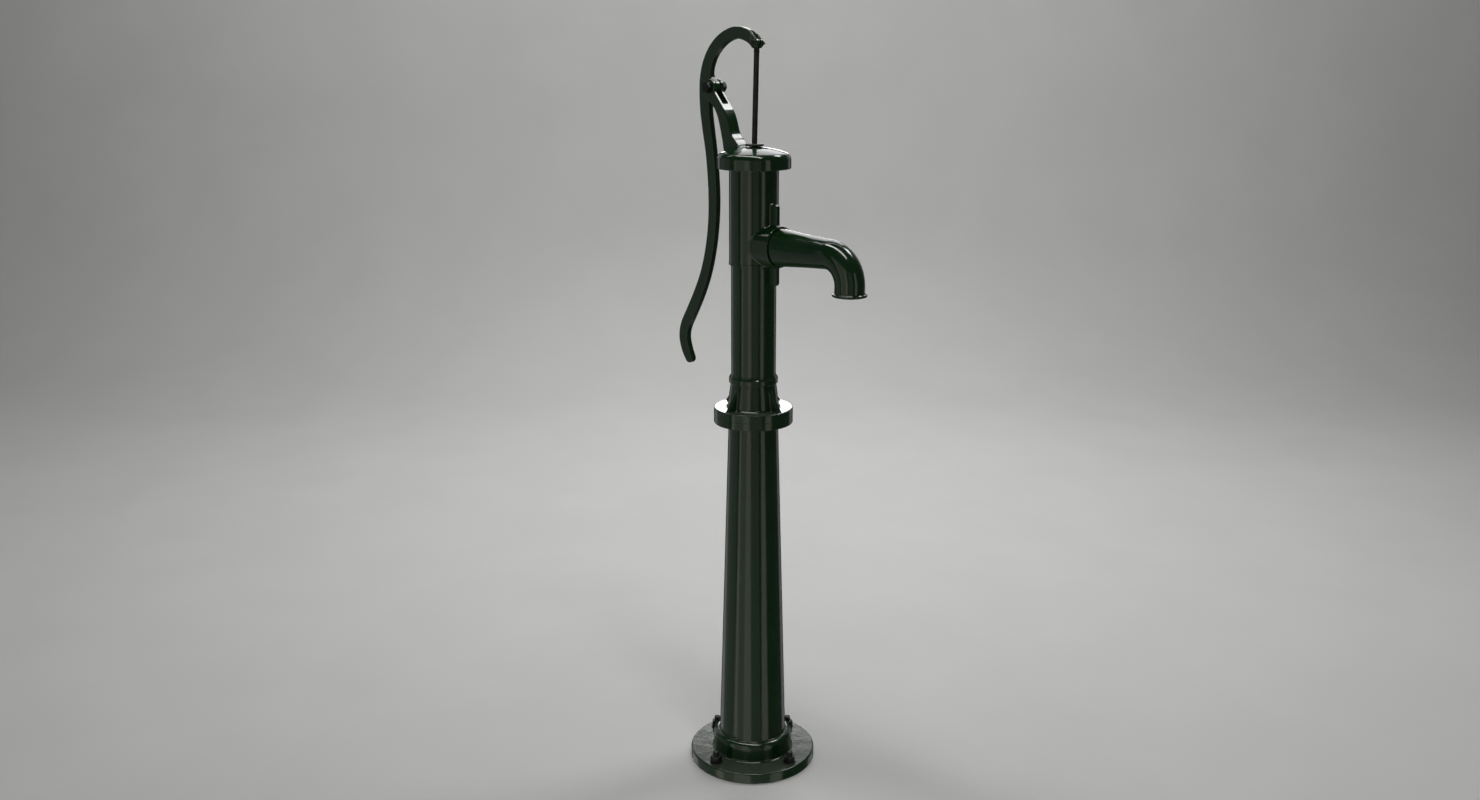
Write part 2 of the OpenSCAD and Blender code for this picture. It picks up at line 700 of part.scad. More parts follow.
// ---- Piston ----
yoke_half = 25.5;
module piston_body() {
    bridge_z = 957;
    bridge_t = 7;
    lug_r = 8;
    color(brass_colour) difference() {
        union() {
            translate([0, 0, clamp_z - 1])
                cylinder(r = piston_spigot_r, h = crown_z - clamp_z + 2, $fn = fine);
            translate([0, 0, crown_z])
                cylinder(r = bore_r - 3.7, h = crown_top_z - crown_z, $fn = fine);
            for (side = [-1, 1]) translate([-7, side > 0 ? 20 : -yoke_half, crown_top_z - 1])
                cube([14, yoke_half - 20, bridge_z + bridge_t - crown_top_z + 1]);
            translate([-8, -yoke_half, bridge_z]) cube([16, 2 * yoke_half, bridge_t]);
            for (side = [-1, 1]) {
                y0 = side > 0 ? 4.5 : -9.5;
                translate([-lug_r, y0, bridge_z + 1]) cube([2 * lug_r, 5, piston_pin_z - bridge_z - 1]);
                cross_cylinder([0, piston_pin_z], lug_r, y0, y0 + 5);
            }
        }
        translate([0, 0, clamp_z - 2]) cylinder(r = piston_port_r, h = crown_top_z - clamp_z + 4, $fn = fine);
        cross_cylinder([0, piston_pin_z], pin_r + thread_gap, -20, 20);
    }
}
module piston_cup() {
    outer = bore_r - running_gap;
    color(leather_colour) rotate_extrude($fn = fine) polygon([
        [piston_spigot_r + thread_gap, cup_z], [outer - 1, cup_z], [outer, cup_z + 1], [outer, cup_top_z],
        [outer - cup_wall + 1.5, cup_top_z], [outer - cup_wall, cup_top_z - 3], [outer - cup_wall, crown_z],
        [piston_spigot_r + thread_gap, crown_z]
    ]);
}
module piston_clamp() {
    color(brass_colour) translate([0, 0, clamp_z]) ring(33, piston_spigot_r + thread_gap, cup_z - clamp_z);
}
module piston_valve() {
    wing_r = piston_port_r - 0.3;
    wing_h = 12;
    color(brass_colour) {
        translate([0, 0, crown_top_z]) cylinder(r = 19, h = 4, $fn = fine);
        translate([0, 0, crown_top_z - wing_h]) {
            for (a = [0 : 120 : 240]) rotate([0, 0, a]) translate([0, -1, 0]) cube([wing_r, 2, wing_h]);
            cylinder(r = 2.5, h = wing_h + 0.5);
        }
    }
}
module piston_pin() {
    color(steel) cross_cylinder([0, piston_pin_z], pin_r, -13, 13);
}
module piston_pin_clips() {
    color(dark_steel) for (side = [-1, 1]) difference() {
        y = side * 11;
        cross_cylinder([0, piston_pin_z], 6.5, y - 0.6, y + 0.6);
        cross_cylinder([0, piston_pin_z], pin_r + thread_gap, y - 3, y + 3);
    }
}

pedestal();
anchor_studs();
anchor_washers();
anchor_nuts();
riser_pipe();
pipe_coupling();
flange_gasket();
flange_screws();
pump_foot();
foot_valve_leather();
foot_valve_flap();
foot_valve_weight();
foot_valve_bolt();
foot_valve_nut();
cylinder_body();  // cylinder
chamber_gasket();
head_chamber();
spout();
spout_gasket();
cap();
cap_set_screws();
lever();
fulcrum_bolt();
fulcrum_washers();
fulcrum_nut();
rod_pin();
rod_pin_cotter();
pump_rod();
rod_link();
rod_lock_nut();
guide_plate();
piston_body();
piston_cup();
piston_clamp();
piston_valve();
piston_pin();
piston_pin_clips();
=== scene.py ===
"""Looks for a hand well pump: smooth castings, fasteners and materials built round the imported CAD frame.

Shapes are given in millimetres in the frame's own axes: +Z up, spout towards +X, lever on the -X side.
"""
import json
import math

import bmesh
import bpy
import numpy as np
from mathutils import Matrix, Vector

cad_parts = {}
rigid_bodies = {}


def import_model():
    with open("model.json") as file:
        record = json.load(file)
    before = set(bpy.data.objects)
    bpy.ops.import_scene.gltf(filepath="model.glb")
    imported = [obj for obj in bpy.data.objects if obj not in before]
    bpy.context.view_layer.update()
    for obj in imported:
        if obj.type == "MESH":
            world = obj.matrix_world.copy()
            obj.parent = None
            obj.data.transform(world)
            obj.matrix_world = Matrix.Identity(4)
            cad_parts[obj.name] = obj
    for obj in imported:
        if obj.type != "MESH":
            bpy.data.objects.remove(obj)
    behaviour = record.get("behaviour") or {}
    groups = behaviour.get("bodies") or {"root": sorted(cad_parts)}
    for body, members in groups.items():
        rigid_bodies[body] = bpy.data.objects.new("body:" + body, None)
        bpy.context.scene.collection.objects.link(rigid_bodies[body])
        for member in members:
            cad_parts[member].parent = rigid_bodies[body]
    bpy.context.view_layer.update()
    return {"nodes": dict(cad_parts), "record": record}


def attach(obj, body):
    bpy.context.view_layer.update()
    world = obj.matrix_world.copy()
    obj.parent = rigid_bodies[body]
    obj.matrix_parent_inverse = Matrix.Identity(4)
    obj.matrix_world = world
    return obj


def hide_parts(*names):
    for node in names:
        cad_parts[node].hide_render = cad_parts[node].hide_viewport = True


MM = 0.001


# ---- Signed distances in millimetres, negative inside ----
def both(a, b, r=0.0):
    """Where two shapes overlap, with the edge between them rounded to radius r."""
    return np.minimum(np.maximum(a, b), -r) + np.hypot(np.maximum(a + r, 0), np.maximum(b + r, 0))


def either(a, b, r=0.0):
    """Two shapes joined, with a fillet of radius r between them."""
    return np.maximum(np.minimum(a, b), r) - np.hypot(np.maximum(r - a, 0), np.maximum(r - b, 0))


def without(a, b, r=0.0):
    """Shape a with b cut away, and the edge of the cut rounded to radius r."""
    return both(a, -b, r)


def slab(value, low, high):
    """Everything between two parallel planes."""
    return np.abs(value - (low + high) / 2) - (high - low) / 2


def box_2d(u, v, low, high, r):
    """A rectangle with rounded corners."""
    return both(slab(u, low[0], high[0]), slab(v, low[1], high[1]), r)


def polygon(u, v, points):
    """A closed outline given by its corners."""
    nearest = np.full(u.shape, np.inf)
    inside = np.zeros(u.shape, bool)
    for (au, av), (bu, bv) in zip(points, points[1:] + points[:1]):
        eu, ev = bu - au, bv - av
        pu, pv = u - au, v - av
        t = np.clip((pu * eu + pv * ev) / (eu * eu + ev * ev), 0, 1)
        nearest = np.minimum(nearest, (pu - eu * t) ** 2 + (pv - ev * t) ** 2)
        if ev:
            inside ^= ((av > v) != (bv > v)) & (pu < eu * pv / ev)
    return np.where(inside, -1, 1) * np.sqrt(nearest)


def bar(u, v, line):
    """A bar whose centreline and half width are given point by point."""
    nearest = np.full(u.shape, np.inf)
    for (au, av, ar), (bu, bv, br) in zip(line, line[1:]):
        eu, ev = bu - au, bv - av
        pu, pv = u - au, v - av
        t = np.clip((pu * eu + pv * ev) / (eu * eu + ev * ev), 0, 1)
        nearest = np.minimum(nearest, np.hypot(pu - eu * t, pv - ev * t) - ar - (br - ar) * t)
    return nearest


def hexagon(u, v, across_flats, r):
    """A hexagon with two flats square to v."""
    lean = math.radians(60)
    top, right, left = [np.abs(u * math.sin(turn) + v * math.cos(turn)) for turn in (0, lean, -lean)]
    return both(np.maximum(right, left) - across_flats / 2, top - across_flats / 2, r)


def arc(centre, r, start, end, count=10):
    """Points along an arc, with its angles in degrees."""
    turns = np.radians(np.linspace(start, end, count + 1))
    return [(centre[0] + r * math.cos(t), centre[1] + r * math.sin(t)) for t in turns]


def spline(points, steps):
    """Points along a smooth curve through the given points."""
    knots = np.array([points[0]] + list(points) + [points[-1]], float)
    curve = []
    for p0, p1, p2, p3 in zip(knots, knots[1:], knots[2:], knots[3:]):
        for t in np.arange(steps) / steps:
            bend = (2 * p0 - 5 * p1 + 4 * p2 - p3) * t * t + (3 * p1 - p0 - 3 * p2 + p3) * t ** 3
            curve.append(tuple(0.5 * (2 * p1 + (p2 - p0) * t + bend)))
    return curve + [tuple(knots[-1])]


# ---- Meshes from signed distances ----
BLOCK = 6


def sample(field, low, counts, step):
    """Distances on a grid, worked out in full only in the blocks that the surface may pass through."""
    blocks = -(-counts // BLOCK)
    centre = np.stack(np.meshgrid(*[np.arange(n) for n in blocks], indexing="ij"), -1).reshape(-1, 3)
    middle = low + (centre * BLOCK + (BLOCK - 1) / 2) * step
    coarse = field(*middle.T)
    reach = step * BLOCK * 1.05
    grid = np.repeat(coarse, BLOCK ** 3).reshape(*blocks, BLOCK, BLOCK, BLOCK)
    grid = grid.transpose(0, 3, 1, 4, 2, 5).reshape(blocks * BLOCK)
    offsets = np.stack(np.meshgrid(*[np.arange(BLOCK)] * 3, indexing="ij"), -1).reshape(-1, 3)
    near = centre[np.abs(coarse) < reach]
    for part in np.array_split(near, max(1, len(near) // 400)):
        index = (part[:, None] * BLOCK + offsets[None]).reshape(-1, 3)
        grid[tuple(index.T)] = field(*(low + index * step).T)
    return grid


def slope(field, points, reach):
    """The direction in which the distance grows fastest."""
    steps = np.eye(3) * reach
    return np.stack([field(*(points + s).T) - field(*(points - s).T) for s in steps], -1) / (2 * reach)


def surface(field, low, high, step):
    """Points, four-sided faces and normals of the surface where the distance is zero."""
    low = np.array(low, float) - 2.5 * step
    counts = np.ceil((np.array(high, float) - low) / step + 2.5).astype(int)
    grid = sample(field, low, counts, step)
    inside = grid < 0
    cells = np.array(grid.shape) - 1
    total = np.zeros(cells, int)
    for i, j, k in np.ndindex(2, 2, 2):
        total += inside[i:i + cells[0], j:j + cells[1], k:k + cells[2]]
    active = (total > 0) & (total < 8)
    names = np.full(cells, -1)
    names[active] = np.arange(active.sum())
    base = np.argwhere(active)
    place = np.zeros((len(base), 3))
    hits = np.zeros(len(base))
    for axis in range(3):
        unit = np.eye(3, dtype=int)[axis]
        for i, j in np.ndindex(2, 2):
            offset = np.insert([i, j], axis, 0)
            a = grid[tuple((base + offset).T)]
            b = grid[tuple((base + offset + unit).T)]
            cut = np.flatnonzero((a < 0) != (b < 0))
            t = a[cut] / (a[cut] - b[cut])
            place[cut] += offset + t[:, None] * unit
            hits[cut] += 1
    points = low + (base + place / hits[:, None]) * step
    faces = []
    for axis in range(3):
        unit, u, v = np.roll(np.eye(3, dtype=int), -axis, 0)
        ahead = np.roll(inside, -1, axis)
        edge = inside != ahead
        edge[tuple(slice(None) if a != axis else slice(-1, None) for a in range(3))] = False
        at = np.argwhere(edge)
        at = at[((at > 0) | (unit > 0)).all(1) & (at < cells).all(1)]
        ring = np.stack([names[tuple((at - shift).T)] for shift in (u + v, v, 0 * u, u)], -1)
        flip = ~inside[tuple(at.T)]
        ring[flip] = ring[flip][:, ::-1]
        faces.append(ring)
    for _ in range(3):
        grad = slope(field, points, step * 0.2)
        size = np.maximum((grad ** 2).sum(1), 0.25)
        move = field(*points.T)[:, None] * grad / size[:, None]
        points -= np.clip(move, -step / 2, step / 2)
    normals = slope(field, points, 0.35 * step)
    normals /= np.maximum(np.linalg.norm(normals, axis=1), 1e-6)[:, None]
    return points, np.concatenate(faces), normals


def place_points(points, matrix):
    """Points moved by a matrix in millimetres."""
    return points @ np.array(matrix.to_3x3()).T + np.array(matrix.translation)


def merged(shape, matrices):
    """Copies of one shape, placed by matrices in millimetres, as one shape."""
    points, faces, normals = shape
    count = len(points)
    all_points = [place_points(points, m) for m in matrices]
    all_normals = [normals @ np.array(m.to_3x3()).T for m in matrices]
    all_faces = [faces + count * i for i in range(len(matrices))]
    return np.concatenate(all_points), np.concatenate(all_faces), np.concatenate(all_normals)


def copies(points, faces, matrices):
    """The points and faces of one mesh, repeated at each place."""
    count = len(points)
    every_point = np.concatenate([place_points(points, m) for m in matrices])
    every_face = [[v + count * i for v in face] for i in range(len(matrices)) for face in faces]
    return every_point, every_face


def mesh_object(name, points, faces, materials):
    """A smooth-shaded mesh object from points in millimetres."""
    mesh = bpy.data.meshes.new(name)
    mesh.from_pydata((np.asarray(points) * MM).tolist(), [], [list(f) for f in faces])
    mesh.update()
    obj = bpy.data.objects.new(name, mesh)
    bpy.context.scene.collection.objects.link(obj)
    for material in materials:
        mesh.materials.append(material)
    mesh.shade_smooth()
    return obj


def skin(name, shape, material):
    """A mesh object that shades with the exact normals of its surface."""
    points, faces, normals = shape
    obj = mesh_object(name, points, faces.tolist(), [material])
    obj.data.normals_split_custom_set_from_vertices(normals.tolist())
    return obj


def turned(profile, segments=144, sharp=30):
    """A closed (radius, height) profile turned about Z: points, faces and a normal for each face corner."""
    loop = np.array(profile, float)
    count = len(loop)
    along = np.roll(loop, -1, 0) - loop
    length = np.maximum(np.hypot(*along.T), 1e-9)
    out = np.stack([along[:, 1], -along[:, 0]], -1) / length[:, None]
    before = np.roll(out, 1, 0)
    joined = (out * before).sum(1) > math.cos(math.radians(sharp))
    weight = (length ** 2)[:, None]
    blend = out * weight + before * np.roll(weight, 1, 0)
    blend /= np.maximum(np.linalg.norm(blend, axis=1), 1e-9)[:, None]
    start = np.where(joined[:, None], blend, out)
    end = np.roll(np.where(joined[:, None], blend, before), -1, 0)
    turn = np.arange(segments) * 2 * math.pi / segments
    ring = np.stack([np.cos(turn), np.sin(turn)], -1)
    points = np.concatenate([np.column_stack([ring * r, np.full(segments, z)]) for r, z in loop])
    faces, normals = [], []
    for i in range(count):
        j = (i + 1) % count
        for s in range(segments):
            e = (s + 1) % segments
            faces.append([i * segments + s, i * segments + e, j * segments + e, j * segments + s])
            for flat, side in ((start[i], s), (start[i], e), (end[i], e), (end[i], s)):
                normals.append((flat[0] * ring[side][0], flat[0] * ring[side][1], flat[1]))
    return points, faces, normals


def lathe(name, profile, material, segments=144, matrices=None):
    """A ring turned from a closed profile that runs up the outside and down the inside."""
    points, faces, normals = turned(profile, segments)
    matrices = matrices or [Matrix.Identity(4)]
    every_point, every_face = copies(points, faces, matrices)
    every_normal = np.concatenate([np.array(normals) @ np.array(m.to_3x3()).T for m in matrices])
    obj = mesh_object(name, every_point, every_face, [material])
    obj.data.normals_split_custom_set(every_normal.tolist())
    return obj


def rounded(corners, r, count=6):
    """A closed profile with its corners rounded; r is one radius or one for each corner."""
    radii = r if isinstance(r, (list, tuple)) else [r] * len(corners)
    ring = []
    for i, corner in enumerate(corners):
        here = Vector(corner)
        if not radii[i]:
            ring.append(tuple(here))
            continue
        back = (Vector(corners[i - 1]) - here).normalized()
        ahead = (Vector(corners[(i + 1) % len(corners)]) - here).normalized()
        half = back.angle(ahead) / 2
        centre = here + (back + ahead).normalized() * (radii[i] / math.sin(half))
        first = here + back * (radii[i] / math.tan(half))
        last = here + ahead * (radii[i] / math.tan(half))
        sweep = (first - centre).angle_signed(last - centre)
        for t in np.linspace(0, 1, count + 1):
            arm = (first - centre).copy()
            arm.rotate(Matrix.Rotation(-sweep * t, 2))
            ring.append(tuple(centre + arm))
    return ring


# ---- Materials ----
class Nodes:
    """A short way to write a node material."""

    def __init__(self, name):
        self.material = bpy.data.materials.new(name)
        self.material.use_nodes = True
        self.tree = self.material.node_tree
        self.tree.nodes.clear()
        output = self.tree.nodes.new("ShaderNodeOutputMaterial")
        self.surface = self.add("BsdfPrincipled")
        self.tree.links.new(self.surface.outputs[0], output.inputs["Surface"])
        self.coords = self.add("TexCoord").outputs["Object"]

    def add(self, kind, **inputs):
        """A new node; an input is a value or another node's output."""
        node = self.tree.nodes.new("ShaderNode" + kind)
        for key, value in inputs.items():
            self.join(node, key.replace("_", " "), value)
        return node

    def join(self, node, socket, value):
        target = node.inputs[socket]
        if isinstance(value, bpy.types.NodeSocket):
            self.tree.links.new(value, target)
        else:
            target.default_value = value

    def noise(self, scale, detail=3.0, stretch=(1, 1, 1), roughness=0.5):
        """Noise whose scale is in waves per metre."""
        mapped = self.add("Mapping", Vector=self.coords, Scale=stretch)
        return self.add("TexNoise", Vector=mapped.outputs[0], Scale=scale, Detail=detail,
                        Roughness=roughness).outputs["Fac"]

    def span(self, value, low, high, start=0.3, end=0.7):
        """Maps the range from start to end onto the range from low to high."""
        return self.add("MapRange", Value=value, From_Min=start, From_Max=end,
                        To_Min=low, To_Max=high).outputs[0]

    def ramp(self, value, *stops):
        """Colours at positions between 0 and 1."""
        node = self.add("ValToRGB", Fac=value)
        marks = node.color_ramp.elements
        while len(marks) < len(stops):
            marks.new(0.5)
        for mark, (position, colour) in zip(marks, stops):
            mark.position = position
            mark.color = (*colour, 1)
        return node.outputs["Color"]

    def bump(self, height, depth, strength=1.0, normal=None):
        """A bump whose depth is in metres."""
        node = self.add("Bump", Height=height, Distance=depth, Strength=strength)
        if normal is not None:
            self.join(node, "Normal", normal)
        return node.outputs[0]

    def finish(self, **inputs):
        """Sets the surface shader's inputs and gives the material."""
        for key, value in inputs.items():
            self.join(self.surface, key.replace("_", " "), value)
        return self.material


def enamel(name, dark, light, gloss=0.11):
    """Gloss enamel brushed over a sand casting, with its level faces painted paler: a painted sheen with a
    little dust.
    """
    n = Nodes(name)
    patches = n.noise(9, 4)
    runs = n.noise(26, 3, stretch=(1, 1, 0.25))
    clean = n.ramp(patches, (0.3, dark), (0.75, light))
    # Painted sheen: faces that look straight up are mixed toward a pale grey-green that stands in for light
    # reflected off them, with a little dust.
    upward = n.add("SeparateXYZ", Vector=n.add("NewGeometry").outputs["Normal"]).outputs["Z"]
    level = n.span(upward, 0, 1, 0.985, 1)
    dust_and_sheen = (0.048, 0.066, 0.045, 1)
    colour = n.add("MixRGB", Fac=level, Color1=clean, Color2=dust_and_sheen).outputs["Color"]
    cast = n.bump(n.noise(42, 2), 0.0011, 0.3)
    peel = n.bump(n.noise(260, 2), 0.00022, 0.3, cast)
    return n.finish(Base_Color=colour, Roughness=n.span(runs, gloss, gloss + 0.12),
                    Normal=peel, IOR=1.5, Coat_Weight=0.5, Coat_Roughness=0.05)


def metal(name, dark, light, roughness, grain=900, stretch=(1, 1, 1), depth=0.00005):
    """Bare or oiled metal with a fine grain."""
    n = Nodes(name)
    stains = n.noise(70, 4)
    fine = n.noise(grain, 2, stretch)
    return n.finish(Base_Color=n.ramp(stains, (0.3, dark), (0.7, light)), Metallic=0.85,
                    Roughness=n.span(fine, roughness - 0.08, roughness + 0.1),
                    Normal=n.bump(fine, depth, 0.5))


def soft(name, dark, light, roughness, grain, depth):
    """Leather or sheet rubber."""
    n = Nodes(name)
    fine = n.noise(grain, 4)
    return n.finish(Base_Color=n.ramp(fine, (0.3, dark), (0.7, light)), Roughness=roughness,
                    Normal=n.bump(fine, depth, 0.6))


def make_materials():
    """One material for each finish in the record; colours are linear."""
    return {
        "enamel": enamel("enamel_green", (0.0030, 0.0213, 0.0041), (0.0055, 0.0310, 0.0069)),
        "enamel_dark": enamel("enamel_black_green", (0.0035, 0.0100, 0.0045), (0.0060, 0.0150, 0.0070),
                              0.42),
        "dark_steel": metal("steel_dark", (0.030, 0.036, 0.031), (0.055, 0.062, 0.055), 0.34),
        "rod_steel": metal("steel_rod", (0.026, 0.032, 0.028), (0.048, 0.054, 0.048), 0.3,
                           600, (1, 1, 0.05)),
        "bright_steel": metal("steel_bright", (0.40, 0.41, 0.42), (0.52, 0.53, 0.54), 0.28),
        "galvanised": metal("steel_galvanised", (0.34, 0.36, 0.37), (0.50, 0.52, 0.53), 0.42, 250),
        "bare_iron": metal("iron_bare", (0.06, 0.06, 0.06), (0.12, 0.115, 0.11), 0.55, 500, depth=0.0003),
        "brass": metal("brass_turned", (0.52, 0.37, 0.13), (0.66, 0.49, 0.20), 0.26),
        "leather": soft("leather_oiled", (0.16, 0.075, 0.03), (0.28, 0.14, 0.06), 0.5, 900, 0.0002),
        "rubber": soft("rubber_sheet", (0.018, 0.018, 0.018), (0.032, 0.032, 0.03), 0.6, 1200, 0.0001),
    }


# ---- Castings, in millimetres ----
BASE_R = 120.5
FLANGE_R = 73.0
FLANGE_Z = 682.0
FLANGE_TOP = 696.2
FOOT_Z = 696.8
FOOT_TOP = 711.0
BEAD_Z = 756.0
BEAD_SPLIT = 761.0
BARREL_R = 41.0
BARREL_TOP = 988.0
CHAMBER_Z = 975.0
CHAMBER_R = 45.0
SPOUT_Z = 1012.0
CAP_Z = 1146.0
CAP_R = 66.0
FULCRUM = (-102.0, 1284.0)
TIP = (6.0, 1360.0)
LINK = (-5.0, 982.0)
STUD_RING = 100
CAP_SCREW_RING = 59.5
CAP_SCREW_Z = 1152
CAP_SCREW_TURNS = (105, 165)
BOLT_HOLE_R = 6.05
SPLIT_PIN_Y = 13.0


def pedestal(material):
    """The tapered column with its stepped skirt, base flange and top flange."""
    foot_r, top_r, wall = 64.0, 46.0, 8
    skirt_r, bore_r = 76, 30
    underside = [(foot_r - wall, 0), (BASE_R - 1.2, 0)]
    base = arc((BASE_R - 2, 1.6), 1.6, -60, 0, 3) + arc((BASE_R - 3, 17), 3, 0, 90, 8)
    skirt = arc((skirt_r + 4, 24), 4, 270, 180, 8) + arc((skirt_r - 10, 47), 10, 0, 90, 14)
    column = arc((foot_r + 1.94, 59), 2, 270, 182, 6) + arc((top_r + 4.12, FLANGE_Z - 4), 4, 178, 90, 8)
    flange = arc((FLANGE_R - 1.2, FLANGE_Z + 1.2), 1.2, -90, 0, 4)
    flange += arc((FLANGE_R - 0.25, FLANGE_TOP - 0.25), 0.25, 0, 90, 2)
    inside = [(bore_r, FLANGE_TOP), (bore_r, 684), (top_r - wall, 674), (foot_r - wall, 57)]
    points, faces, _ = turned(underside + base + skirt + column + flange + inside, 192)
    obj = mesh_object("pedestal_casting", points, faces, [material])

    screw_ring = 59.5
    holes = [(STUD_RING, 90 * i, -5, 26, 6.5) for i in range(4)]
    holes += [(screw_ring, 45 + 90 * i, 690, 700, 5.5) for i in range(4)]
    holes += [(screw_ring, 45 + 90 * i, 670, 689, 9.6) for i in range(4)]
    drill(obj, holes)
    obj.data.set_sharp_from_angle(angle=math.radians(30))
    even = obj.modifiers.new("even_normals", "WEIGHTED_NORMAL")
    even.keep_sharp = True
    bake_modifiers(obj)
    return obj


def drill(obj, holes):
    """Cuts upright round holes, each given as (reach from the axis, angle, low, high, radius)."""
    bits = []
    for reach, turn, low, high, r in holes:
        bpy.ops.mesh.primitive_cylinder_add(vertices=48, radius=r * MM, depth=(high - low) * MM)
        bit = bpy.context.object
        spot = Matrix.Rotation(math.radians(turn), 3, "Z") @ Vector((reach, 0, (low + high) / 2))
        bit.location = spot * MM
        bits.append(bit)
    for bit in bits:
        cut = obj.modifiers.new("drilled", "BOOLEAN")
        cut.operation = "DIFFERENCE"
        cut.solver = "EXACT"
        cut.object = bit
    obj.data.set_sharp_from_angle(angle=math.radians(30))
    bake_modifiers(obj)
    for bit in bits:
        bpy.data.objects.remove(bit)


def bake_modifiers(obj):
    """Replaces an object's mesh by what its modifiers make of it."""
    graph = bpy.context.evaluated_depsgraph_get()
    mesh = bpy.data.meshes.new_from_object(obj.evaluated_get(graph), preserve_all_data_layers=True,
                                           depsgraph=graph)
    old = obj.data
    obj.modifiers.clear()
    obj.data = mesh
    bpy.data.meshes.remove(old)


def barrel(material):
    """The pump's cylinder with the upper half of the bead round its foot."""
    r, bead_r, bore_r, socket_r = BARREL_R, 45, 36, 37.95
    corners = [(socket_r, BEAD_SPLIT), (bead_r, BEAD_SPLIT), (bead_r, 767), (r + 1.6, 770), (r, 774),
               (r, BARREL_TOP), (bore_r, BARREL_TOP), (bore_r, 777), (socket_r, 777)]
    radii = [0, 0.25, 3, 4, 6, 0.4, 0, 0, 0]
    return lathe("cylinder_casting", rounded(corners, radii), material)


def foot_field(x, y, z):
    """The outside of the pump's foot: a flange, a cone with four gussets and the lower half of the bead."""
    rho = np.hypot(x, y)
    flange = both(rho - FLANGE_R, z - FOOT_TOP, 1.5)
    cone = (rho - 48 + (z - FOOT_TOP) * 6 / 45) * 0.99
    body = either(flange, cone, 3)

    reach, slope_run, slope_rise = 68, 25.5, 34.5
    along = np.maximum(np.abs(x), np.abs(y))
    across = np.minimum(np.abs(x), np.abs(y))
    edge = ((along - reach) * slope_rise + (z - 712.5) * slope_run) / math.hypot(slope_rise, slope_run)
    gusset = both(both(edge, along - reach, 1), across - 3.5, 1.2)
    body = either(body, gusset, 1.5)
    return either(body, both(rho - 45, BEAD_Z + 1 - z, 1.6), 1.0)


FOOT_BORE = [
    (21.3, FOOT_Z), (21.3, 736), (19.5, 736), (19.5, 740), (30, 750), (30, 760), (21, 768), (21, 774),
    (37.9, 774), (37.9, BEAD_SPLIT)]


def foot(material):
    """The foot's outside, cut level at its two joints and closed by its turned bore and spigot."""
    points, faces, _ = surface(foot_field, (-73, -73, FOOT_Z - 3), (73, 73, BEAD_SPLIT + 3), 1.3)
    obj = mesh_object("pump_foot_casting", points, faces.tolist(), [material])
    mesh = obj.data
    levels = (FOOT_Z * MM, BEAD_SPLIT * MM)
    shell = bmesh.new()
    shell.from_mesh(mesh)
    for level, outward in zip(levels, (-1, 1)):
        everything = shell.verts[:] + shell.edges[:] + shell.faces[:]
        bmesh.ops.bisect_plane(shell, geom=everything, dist=1e-7, plane_co=(0, 0, level),
                               plane_no=(0, 0, outward), clear_outer=True)
    outside = len(shell.faces)
    add_bore(shell, FOOT_BORE)
    for level in levels:
        rim = [e for e in shell.edges if e.is_boundary and all(abs(v.co.z - level) < 1e-6 for v in e.verts)]
        bmesh.ops.triangle_fill(shell, use_beauty=True, use_dissolve=False, edges=rim, normal=(0, 0, 1))
    bmesh.ops.recalc_face_normals(shell, faces=shell.faces[:])
    shell.to_mesh(mesh)
    shell.free()
    mesh.shade_smooth()
    mesh.set_sharp_from_angle(angle=math.radians(30))
    use_field_normals(mesh, foot_field, outside)
    return obj


def add_bore(shell, profile, sides=96):
    """Adds the wall of a turned hole, open at both ends, from its (radius, height) points."""
    turns = [2 * math.pi * i / sides for i in range(sides)]
    rings = []
    for r, z in profile:
        rings.append([shell.verts.new((r * MM * math.cos(t), r * MM * math.sin(t), z * MM)) for t in turns])
    for below, above in zip(rings, rings[1:]):
        for i in range(sides):
            shell.faces.new((below[i], above[i], above[i - 1], below[i - 1]))


def use_field_normals(mesh, field, count):
    """Gives the first faces of a mesh the exact normals of the field they came from."""
    spots = np.array([v.co for v in mesh.vertices]) / MM
    exact = slope(field, spots, 0.4)
    exact /= np.maximum(np.linalg.norm(exact, axis=1), 1e-6)[:, None]
    keep_own = (0, 0, 0)
    normals = [keep_own] * len(mesh.loops)
    for face in list(mesh.polygons)[:count]:
        for corner, vertex in zip(face.loop_indices, face.vertices):
            normals[corner] = tuple(exact[vertex])
    mesh.normals_split_custom_set(normals)


def chamber_field(x, y, z):
    """The head chamber with the spout's boss and the ribs above and below it."""
    rho = np.hypot(x, y)
    collar_top, top, wall_r = 979.5, 1157, CHAMBER_R - 0.6
    collar = both(rho - CHAMBER_R, slab(z, CHAMBER_Z, collar_top), 1)
    body = either(both(rho - wall_r, slab(z, CHAMBER_Z + 0.3, top), 0.5), collar, 0.6)
    flange = both(rho - 59.5, slab(z, top - 10, top), 1)
    body = either(body, flange, 5)

    outline = box_2d(x, z, (0, 942), (60, 1086), 6)
    outline = either(outline, box_2d(x, z, (0, 960), (wall_r, 1060), 1), 6)
    rib = both(np.abs(y) - 4.5, outline, 1.2)
    body = either(body, rib, 1.5)
    from_spout = np.hypot(y, z - SPOUT_Z)
    body = either(body, both(from_spout - 37, slab(x, 20, 66), 1.5), 2)

    step_z = 990
    body = without(body, both(rho - 38, step_z - z), 0.5)
    body = without(body, both(rho - 41.1, z - step_z), 0.5)
    body = without(body, both(from_spout - 24.1, 48 - x), 0.5)
    return without(body, both(from_spout - 20, 10 - x), 0.5)


def chamber(material):
    """The head chamber as a skin."""
    shape = surface(chamber_field, (-60, -60, 942), (66, 60, 1157), 1.3)
    return skin("head_chamber_casting", shape, material)


